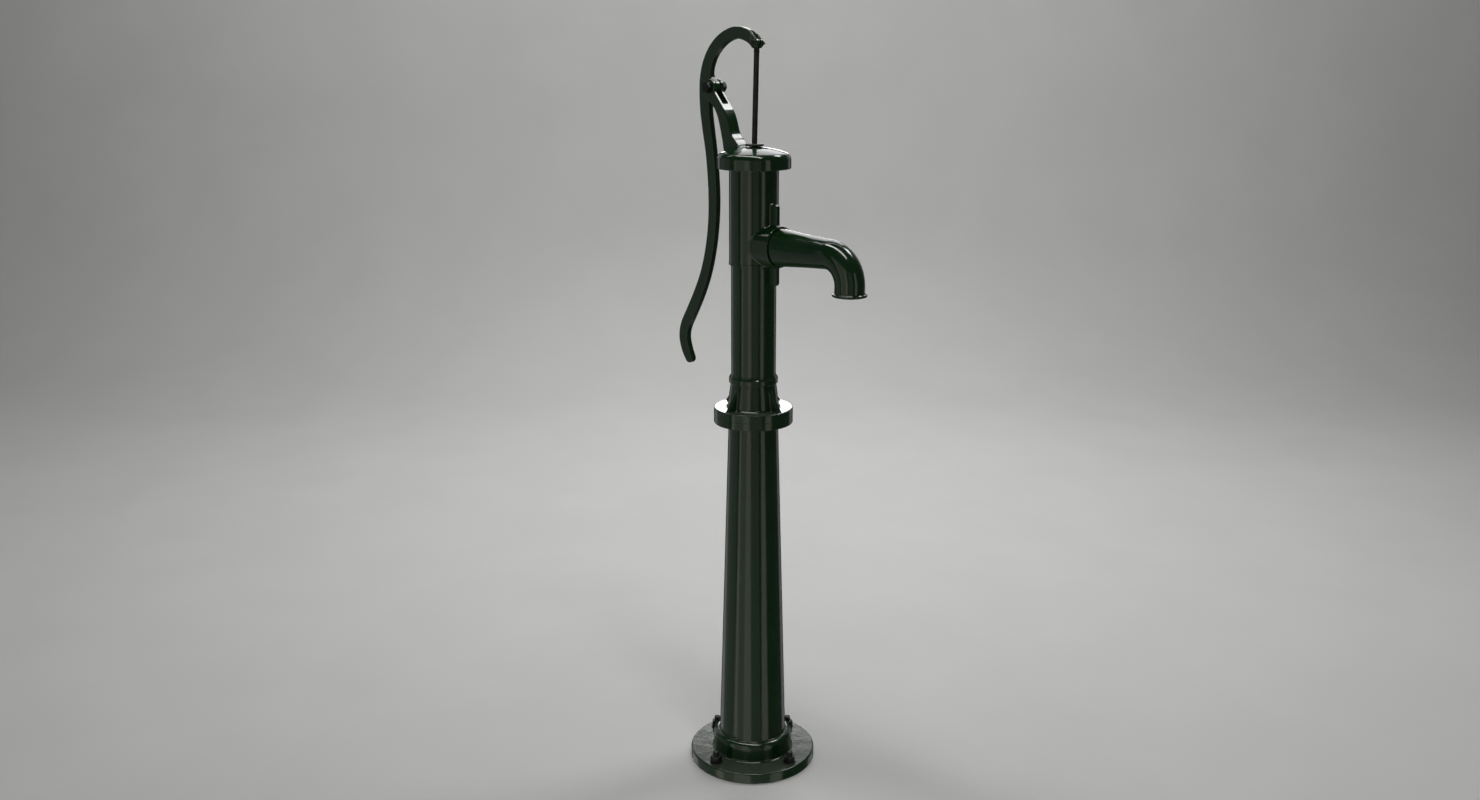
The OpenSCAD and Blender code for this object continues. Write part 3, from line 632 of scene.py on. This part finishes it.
def spout_field(x, y, z):
    """The downturned spout: a taper, a quarter bend and a mouth with a lip."""
    root_x, bend_x, bend_r, mouth_z = 68.5, 177.0, 50.0, 945
    bend_z = SPOUT_Z - bend_r
    taper = np.clip((bend_x - x) / (bend_x - root_x), 0, 1.1) ** 1.25
    straight = np.hypot(y, z - SPOUT_Z)
    turn = np.hypot(np.hypot(x - bend_x, z - bend_z) - bend_r, y)
    drop = np.hypot(x - bend_x - bend_r, y)
    before = x < bend_x
    above = z > bend_z
    axis = np.where(before, straight, np.where(above, turn, drop))
    far = 90
    axis = np.where(before & (x >= bend_x - 60) & (z < bend_z - 10), far, axis)

    tube = axis - 26 - 7.5 * taper
    tube = both(tube, root_x - x, 1.5)
    tube = both(tube, mouth_z - z, 1)
    lip = both(drop - 30, slab(z, mouth_z, mouth_z + 4.5), 1.6)
    tube = either(tube, np.where(before, np.maximum(lip, 5), lip), 2.5)
    spigot = both(straight - 24, slab(x, 51.5, 75), 0.5)
    body = either(tube, spigot)
    body = without(body, axis - 20, 0.8)
    return without(body, both(drop - 22, z - 960), 1.2)


def spout(material):
    """The spout as a skin."""
    shape = surface(spout_field, (51.5, -34, 945), (257, 34, 1046), 1.25)
    return skin("spout_casting", shape, material)


FORK_LEFT = [
    (-114, 1281), (-108, 1266), (-97, 1256), (-87, 1246), (-79, 1231), (-72.5, 1210), (-68, 1193),
    (-66, 1182), (-62.5, 1162)]
FORK_RIGHT = [
    (-24, 1162), (-25, 1181), (-33, 1191), (-42, 1200), (-48, 1210), (-54, 1228), (-61, 1242),
    (-68, 1252), (-88, 1276)]
FORK = spline(FORK_LEFT, 5) + spline(FORK_RIGHT, 5)
HOLLOW = [(-20, 1120), (59.6, 1120), (59.6, 1157), (50, 1157), (46, 1170), (-20, 1173)]


def cap_field(x, y, z):
    """The domed cap with the lever's fork."""
    rho = np.hypot(x, y)
    ball_r, dome_top, corner = 170, 1184, 8
    ball = np.sqrt(rho ** 2 + (z - dome_top + ball_r) ** 2) - ball_r
    dome = both(both(ball, rho - CAP_R, corner), CAP_Z - z, 0.8)
    from_fulcrum = np.hypot(x - FULCRUM[0], z - FULCRUM[1])
    outline = either(polygon(x, z, FORK), from_fulcrum - 14.5, 3)
    fork = both(outline, np.abs(y) - 13, 2.0)
    body = either(dome, both(fork, 1160 - z), 5)

    body = without(body, polygon(rho, z, HOLLOW), 0.6)
    lever_slot = both(both(np.abs(y) - 6.5, 1256 - z, 1.5), x + 50)
    body = without(body, lever_slot, 1.0)
    body = without(body, from_fulcrum - BOLT_HOLE_R, 0.6)
    rod_slot = both(np.hypot(x - np.clip(x, 0.2, 24.8), y) - 6.2, 1150 - z)
    body = without(body, rod_slot, 1.2)
    for turn in CAP_SCREW_TURNS:
        c, s = math.cos(math.radians(turn)), math.sin(math.radians(turn))
        hole = both(np.hypot(y * c - x * s, z - CAP_SCREW_Z) - 4.05, 50 - x * c - y * s)
        body = without(body, hole, 0.5)
    return body


def cap(material):
    """The cap as a skin."""
    shape = surface(cap_field, (-117, -66, CAP_Z), (66, 66, 1299), 1.1)
    return skin("cap_casting", shape, material)


# The lever's centreline and half width, from the tip over the top and down to the grip's end.
LEVER_LINE = [
    (6, 1360, 9), (-14, 1373, 10.3), (-42, 1378, 10.3), (-72, 1369, 10.8), (-97, 1350, 11.2),
    (-113, 1325, 11.8), (-119.5, 1297, 13.2), (-121, 1268, 12.8), (-120, 1240, 11.8), (-115, 1208, 11.4),
    (-108.5, 1172, 10.8), (-103.5, 1130, 10.8), (-101, 1085, 10.8), (-103, 1040, 10.4), (-110.5, 992, 10.3),
    (-124, 945, 10.6), (-143, 903, 11), (-165, 864, 11.2), (-180, 837, 11.2), (-184, 814, 11.2),
    (-178, 792, 10.8), (-169.5, 776, 9.5)]
LEVER_CURVE = spline(LEVER_LINE, 5)
LEVER_WEB = [(-124, 1268), (-102, 1270.5), (-102, 1297.5), (-106, 1303), (-120, 1306)]


def lever_field(x, y, z):
    """The lever: a flat bar with a hub at the fulcrum and a forked tip."""
    from_fulcrum = np.hypot(x - FULCRUM[0], z - FULCRUM[1])
    outline = either(bar(x, z, LEVER_CURVE), from_fulcrum - 13.5, 4)
    outline = either(outline, polygon(x, z, LEVER_WEB), 6)
    half, tip_half = 6, 9
    widen = np.clip((x + 6) / 9, 0, 1) * (z > 1320)
    swell = widen * widen * (3 - 2 * widen)
    body = both(outline, np.abs(y) - half - (tip_half - half) * swell, 1.8)
    body = without(body, both(np.abs(y) - 2.7, both(-8 - x, 1330 - z)), 0.6)
    body = without(body, np.hypot(x - TIP[0], z - TIP[1]) - 4.05, 0.4)
    return without(body, from_fulcrum - BOLT_HOLE_R, 0.5)


def lever(material):
    """The lever as a skin."""
    shape = surface(lever_field, (-196, -9, 766), (16, 9, 1390), 1.1)
    return skin("lever_casting", shape, material)


# ---- Fasteners and the rod ----
def nut_shape(across_flats, height, bore, chamfered_below=True):
    """A hexagon nut or bolt head standing on Z = 0, with its corners chamfered at 30 degrees."""
    rise, run = 0.866, 0.5

    def field(x, y, z):
        rho = np.hypot(x, y)
        prism = both(hexagon(x, y, across_flats, 0.4), slab(z, 0, height), 0.3)
        corner = across_flats / 2 - 0.4
        body = both(prism, (rho - corner) * run + (z - height) * rise, 0.3)
        if chamfered_below:
            body = both(body, (rho - corner) * run - z * rise, 0.3)
        if bore:
            body = without(body, rho - bore, 0.4)
        return body
    r = across_flats / 2 / math.cos(math.radians(30))
    return surface(field, (-r, -r, 0), (r, r, height), 0.42)


def threaded(name, r, length, thread_from, material, matrices, pitch=1.75):
    """A stud along Z with a rolled thread on its free end."""
    sides, rise, depth = 40, pitch / 10, 0.45
    heights = np.concatenate([[0, thread_from], np.arange(thread_from + rise, length - 0.8, rise)])
    turn = np.arange(sides) / sides
    rings = []
    for z in heights:
        wave = np.abs(((z / pitch - turn) % 1) * 2 - 1)
        cut = depth * np.clip((z - thread_from) / pitch, 0, 1) * wave
        rings.append((z, r - cut))
    rings += [(length - 0.4, np.full(sides, r - 0.6)), (length - 0.1, np.full(sides, r - 1.1))]
    points = [(rr * math.cos(2 * math.pi * t), rr * math.sin(2 * math.pi * t), z)
              for z, ring in rings for rr, t in zip(ring, turn)]
    points += [(0, 0, 0), (0, 0, length)]
    faces = []
    for i in range(len(rings) - 1):
        for s in range(sides):
            e = (s + 1) % sides
            faces.append([i * sides + s, i * sides + e, (i + 1) * sides + e, (i + 1) * sides + s])
    last = (len(rings) - 1) * sides
    for s in range(sides):
        e = (s + 1) % sides
        faces.append([len(points) - 2, e, s])
        faces.append([len(points) - 1, last + s, last + e])
    obj = mesh_object(name, *copies(np.array(points), faces, matrices), [material])
    obj.data.set_sharp_from_angle(angle=math.radians(35))
    return obj


def at(x=0.0, y=0.0, z=0.0, turn=None):
    """A place, turned first if a rotation is given."""
    move = Matrix.Translation((x, y, z))
    return move @ turn.to_4x4() if turn else move


def spin(degrees, axis):
    """A rotation about an axis."""
    return Matrix.Rotation(math.radians(degrees), 3, axis)


def around(reach, z, start=0, count=4, own=0):
    """Places on a circle about the pump's axis."""
    places = []
    for i in range(count):
        turn = spin(start + 360 / count * i, "Z")
        places.append(at(*(turn @ Vector((reach, 0, z))), turn @ spin(own, "Z")))
    return places


def rod_matrix():
    """From the rod's own frame, with the pin at the origin and -Z down the rod, to the pump's."""
    lean = math.atan2(TIP[0] - LINK[0], TIP[1] - LINK[1])
    return at(TIP[0], 0, TIP[1], Matrix.Rotation(lean, 3, "Y"))


def rod(material):
    """The pump rod with its flattened eye."""
    length = math.dist(TIP, LINK)
    rod_r, eye_r, half_flat = 4.8, 8.2, 2.5

    def field(x, y, z):
        shaft = both(np.hypot(x, y) - rod_r, slab(z, -length + 13, -11), 0.6)
        blade = both(np.abs(x) - rod_r + 0.1, both(np.abs(y) - half_flat, slab(z, -16, -4)), 0.4)
        eye = both(np.hypot(x, z) - eye_r, np.abs(y) - half_flat, 0.5)
        body = either(shaft, either(blade, eye, 2), 1)
        body = both(body, either(z + 14, np.abs(y) - half_flat, 1.5))
        return without(body, np.hypot(x, z) - 4.05, 0.3)

    shape = surface(field, (-8.2, -5, -length), (8.2, 5, 8.2), 0.7)
    return skin("pump_rod_turned", merged(shape, [rod_matrix()]), material)


def guide(material):
    """The loose disc that rides on the rod and covers the cap's slot."""
    low, thickness, plate_r = 1184.9, 4, 16.5
    lean = (TIP[0] - LINK[0]) / (TIP[1] - LINK[1])
    centre = TIP[0] - (TIP[1] - low - thickness / 2) * lean

    def field(x, y, z):
        rho = np.hypot(x, y)
        disc = both(rho - plate_r, slab(z, 0, thickness), 1.1)
        return without(disc, np.hypot(x - (z - thickness / 2) * lean, y) - 4.9, 0.4)

    shape = surface(field, (-plate_r, -plate_r, 0), (plate_r, plate_r, thickness), 0.5)
    return skin("guide_plate_turned", merged(shape, [at(centre, 0, low)]), material)


def washer(name, outer, inner, thickness, material, matrices):
    """Flat washers with their edges eased."""
    profile = rounded([(inner, 0), (outer, 0), (outer, thickness), (inner, thickness)], 0.35, 3)
    return lathe(name, profile, material, 64, matrices)


def set_screws(material):
    """Square-headed screws in the cap's rim."""
    half_head, under_head, end, shank_r = 4.5, 7.5, 14.5, 4

    def field(x, y, z):
        rho = np.hypot(y, z)
        square = both(np.abs(y) - half_head, np.abs(z) - half_head, 0.5)
        head = both(square, slab(x, under_head, end), 0.6)
        head = both(head, rho + (x - under_head) * 0.6 - 9.4, 0.5)
        return either(head, both(rho - shank_r, slab(x, 0, 9), 0.4), 0.4)

    shape = surface(field, (0, -half_head, -half_head), (end, half_head, half_head), 0.4)
    seat = Vector((CAP_SCREW_RING, 0, CAP_SCREW_Z))
    places = [at(*(spin(t, "Z") @ seat), spin(t, "Z")) for t in CAP_SCREW_TURNS]
    return skin("cap_screws_forged", merged(shape, places), material)


def fulcrum_bolt(material):
    """The bolt through the fork: a shank with a thread on its +Y end, and its head on the -Y end."""
    head_y, end_y, thread, pitch = -14.6, 27.6, 3.2, 1.5
    length = end_y - head_y
    shank_place = at(FULCRUM[0], head_y, FULCRUM[1], spin(-90, "X"))
    head_place = at(FULCRUM[0], head_y, FULCRUM[1], spin(90, "X"))
    shank = threaded("fulcrum_bolt_shank", 6, length, length - thread, material, [shank_place], pitch)
    head = merged(nut_shape(18, 7.5, 0, False), [head_place])
    return shank, skin("fulcrum_bolt_shank_head", head, material)


def fulcrum(material):
    """The fulcrum's washers, bolt and nut, each with the CAD node that it stands for."""
    sides = [at(FULCRUM[0], y, FULCRUM[1], spin(-90, "X")) for y in (-14.6, 13.0)]
    washers = washer("fulcrum_washers_stamped", 11.5, 6.3, 1.6, material, sides)
    shank, head = fulcrum_bolt(material)
    place = at(FULCRUM[0], 14.6, FULCRUM[1], spin(-90, "X"))
    nut = skin("fulcrum_nut_forged", merged(nut_shape(18, 10, BOLT_HOLE_R, False), [place]), material)
    return [(washers, "fulcrum_washers"), (shank, "fulcrum_bolt"), (head, "fulcrum_bolt"),
            (nut, "fulcrum_nut")]


def anchors(material):
    """The base's studs, nuts and washers, each with the CAD node that it stands for."""
    studs = threaded("anchor_studs_threaded", 5.95, 41.4, 31.5, material, around(STUD_RING, 0))
    nut = nut_shape(19, 10, BOLT_HOLE_R)
    nuts = skin("anchor_nuts_forged", merged(nut, around(STUD_RING, 22.5, own=15)), material)
    washers = washer("anchor_washers_stamped", 12, 6.4, 2.5, material, around(STUD_RING, 20))
    return [(studs, "anchor_studs"), (nuts, "anchor_nuts"), (washers, "anchor_washers")]


def rod_pin(material):
    """The tip's pin, with a shallow domed head and a hole for the split pin."""
    pin_r, head_r, head_y, end_y = 4, 6.5, -12, 16

    def field(x, y, z):
        rho = np.hypot(x, z)
        shank = both(rho - pin_r, slab(y, -9.5, end_y), 0.8)
        dome = np.sqrt(x * x + (y + 2.2) ** 2 + z * z) - 9.8
        head = both(both(rho - head_r, slab(y, head_y, -9), 0.5), dome, 0.5)
        body = either(shank, head, 0.3)
        return without(body, np.hypot(z, y - SPLIT_PIN_Y) - 1.1, 0.3)

    shape = surface(field, (-head_r, head_y, -head_r), (head_r, end_y, head_r), 0.4)
    return skin("rod_pin_turned", merged(shape, [at(TIP[0], 0, TIP[1])]), material)


def tube(name, path, r, material, sides=16):
    """A closed wire swept along a path of points in millimetres."""
    path = [Vector(p) for p in path]
    points, faces = [], []
    side = Vector((0, 1, 0))
    for i, here in enumerate(path):
        ahead = (path[min(i + 1, len(path) - 1)] - path[max(i - 1, 0)]).normalized()
        across = ahead.cross(side).normalized()
        up = across.cross(ahead).normalized()
        for s in range(sides):
            t = 2 * math.pi * s / sides
            points.append(here + across * (r * math.cos(t)) + up * (r * math.sin(t)))
    for i in range(len(path) - 1):
        for s in range(sides):
            e = (s + 1) % sides
            faces.append([i * sides + s, i * sides + e, (i + 1) * sides + e, (i + 1) * sides + s])
    faces.append(list(range(sides))[::-1])
    faces.append([(len(path) - 1) * sides + s for s in range(sides)])
    obj = mesh_object(name, [tuple(p) for p in points], faces, [material])
    obj.data.set_sharp_from_angle(angle=math.radians(40))
    return obj


def split_pin(material):
    """A bent wire behind the tip: an eye, a leg through the rod pin and a turned-back end."""
    y, eye_r = SPLIT_PIN_Y, 2.3
    x, z = TIP
    turns = np.radians(np.linspace(20, 340, 25))
    eye = [(x - 8.7 + eye_r * math.cos(t), y, z + eye_r * math.sin(t)) for t in turns]
    leg = [(x - 5, y, z - 0.3), (x + 3, y, z), (x + 6, y, z - 0.4), (x + 7.4, y, z - 1.6)]
    return tube("split_pin_wire", spline(eye + leg, 3), 0.95, material, 14)


# ---- Camera, floor and lights, in metres ----
AWAY = Vector((-1, 1, 0)).normalized()
WHITE = (1, 1, 1)
WARM = (1, 0.965, 0.86)


def aim(obj, target):
    """Turns a light to face a point."""
    obj.rotation_euler = (Vector(target) - obj.location).to_track_quat("-Z", "Y").to_euler()


def camera():
    """The viewpoint: 2.4 m from the pump, level with the top of its lever, looking down."""
    data = bpy.data.cameras.new("camera")
    data.lens = 32.6
    data.sensor_width = 36
    obj = bpy.data.objects.new("camera", data)
    obj.location = (1.677, -1.712, 1.351)
    obj.rotation_euler = (math.radians(75.3), 0, math.radians(45))
    bpy.context.scene.collection.objects.link(obj)
    bpy.context.scene.camera = obj


def area(name, place, target, size, power, colour=WHITE):
    """A rectangular light that the camera does not see."""
    data = bpy.data.lights.new(name, "AREA")
    data.shape = "RECTANGLE"
    data.size, data.size_y = size
    data.energy = power
    data.color = colour
    obj = bpy.data.objects.new(name, data)
    obj.location = place
    aim(obj, target)
    obj.visible_camera = False
    bpy.context.scene.collection.objects.link(obj)
    return obj


def panel(name, turn, reach, height, size, radiance, colour=WHITE):
    """A light at an angle from the camera's side of the pump, anticlockwise from above."""
    spot = Matrix.Rotation(math.radians(turn), 3, "Z") @ (AWAY * -reach)
    power = radiance * math.pi * size[0] * size[1]
    return area(name, (spot.x, spot.y, height), (0, 0, 1.0), size, power, colour)


def sweep():
    """A pale sweep of floor and wall behind the pump, kept out of its reflections."""
    near, reach, bend, rise, half_width = -4.5, 2.6, 1.1, 3.4, 6
    side = Vector((1, 1, 0)).normalized()
    turns = np.radians(np.linspace(0, 90, 24))
    profile = [(near, 0.0)]
    profile += [(reach + bend * math.sin(t), bend - bend * math.cos(t)) for t in turns]
    profile += [(reach + bend, rise)]
    points = []
    for forward, height in profile:
        for across in (-half_width, half_width):
            points.append(tuple((AWAY * forward + side * across + Vector((0, 0, height))) / MM))
    faces = [[2 * i, 2 * i + 1, 2 * i + 3, 2 * i + 2] for i in range(len(profile) - 1)]
    n = Nodes("studio_paper")
    paper = n.ramp(n.noise(3, 2), (0.3, (0.80, 0.80, 0.79)), (0.7, (0.83, 0.83, 0.82)))
    n.finish(Base_Color=paper, Roughness=0.8)
    obj = mesh_object("studio_sweep", points, faces, [n.material])
    obj.visible_glossy = False


def air():
    """Faint light from all round, and plain colour."""
    world = bpy.data.worlds.new("studio_air")
    world.use_nodes = True
    sky = world.node_tree.nodes["Background"]
    sky.inputs["Color"].default_value = (0.55, 0.57, 0.60, 1)
    sky.inputs["Strength"].default_value = 0.07
    bpy.context.scene.world = world
    bpy.context.scene.view_settings.view_transform = "Standard"


def lights(pump):
    """Tall panels that light only the pump and draw the bands on its paint, then lights for everything."""
    tall, top = 3.8, 2.2
    middle = top - tall / 2
    pump_only = [
        panel("left_fill", -100, 1.9, middle, (1.8, tall), 0.13),
        panel("front_left", -38, 1.6, middle, (1.5, tall), 0.3, WARM),
        panel("front_left_edge", -60, 1.5, middle, (0.22, tall), 0.4, WARM),
        panel("front_left_inner", -19, 1.5, middle, (0.54, tall), 0.28, WARM),
        panel("camera_side", 8, 1.9, middle, (1.0, tall), 0.14, WARM),
        panel("front_right", 43, 1.6, middle, (0.5, tall), 0.5, WARM),
        panel("rear_left", -138, 1.8, middle, (0.6, tall), 0.3),
        panel("rear_right", 138, 1.8, middle, (0.6, tall), 0.22),
        panel("back_fill", 180, 3.2, 2.1, (4.4, 1.8), 0.3)]
    for light in pump_only:
        light.light_linking.receiver_collection = pump
        light.light_linking.blocker_collection = pump
    panel("low_back", 180, 3.4, 1.6, (1.6, 0.22), 6)
    panel("high_back", 172, 2.2, 2.6, (1.5, 1.4), 1.7)
    panel("side_back", 122, 2.0, 3.3, (0.9, 0.7), 8)
    area("top", (0.1, -0.35, 3.3), (0.1, -0.05, 0.6), (2.6, 0.3), 27, (1, 0.985, 0.96))
    area("wall", (AWAY.x, AWAY.y, 3.3), tuple(AWAY * 3.7 + Vector((0, 0, 1.2))), (5.0, 0.8), 40)


def studio():
    """The pump's surroundings; called when all of its pieces are in the scene."""
    pump = bpy.data.collections.new("pump_pieces")
    for obj in bpy.context.scene.objects:
        if obj.type == "MESH":
            pump.objects.link(obj)
    sweep()
    air()
    lights(pump)


# ---- Assembly ----
def ride(piece, body, slot, *nodes):
    """Ties a new piece to its body and hides the CAD nodes that it stands for; the slot is not used."""
    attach(piece, body)
    if nodes:
        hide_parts(*nodes)


def main():
    """Loads the frame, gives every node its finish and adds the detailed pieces."""
    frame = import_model()
    camera()
    finish = make_materials()
    for entry in frame["record"]["subparts"]:
        node = frame["nodes"][entry["node"]]
        for spot in node.material_slots:
            spot.material = finish[entry["material_slot"]]

    green = finish["enamel"]
    steel = finish["dark_steel"]
    for make, body, node in (
            (pedestal, "pump", "pedestal"), (foot, "pump", "pump_foot"), (barrel, "pump", "cylinder"),
            (chamber, "pump", "head_chamber"), (spout, "pump", "spout"), (cap, "pump", "cap"),
            (lever, "lever", "lever")):
        ride(make(green), body, "enamel", node)
    for piece, node in anchors(steel) + fulcrum(steel) + [(set_screws(steel), "cap_set_screws")]:
        ride(piece, "pump", "dark_steel", node)
    ride(rod_pin(steel), "lever", "dark_steel", "rod_pin")
    ride(split_pin(steel), "lever", "dark_steel", "rod_pin_cotter")
    ride(rod(finish["rod_steel"]), "rod", "rod_steel", "pump_rod")
    ride(guide(finish["enamel_dark"]), "guide", "enamel_dark", "guide_plate")

    studio()


main()
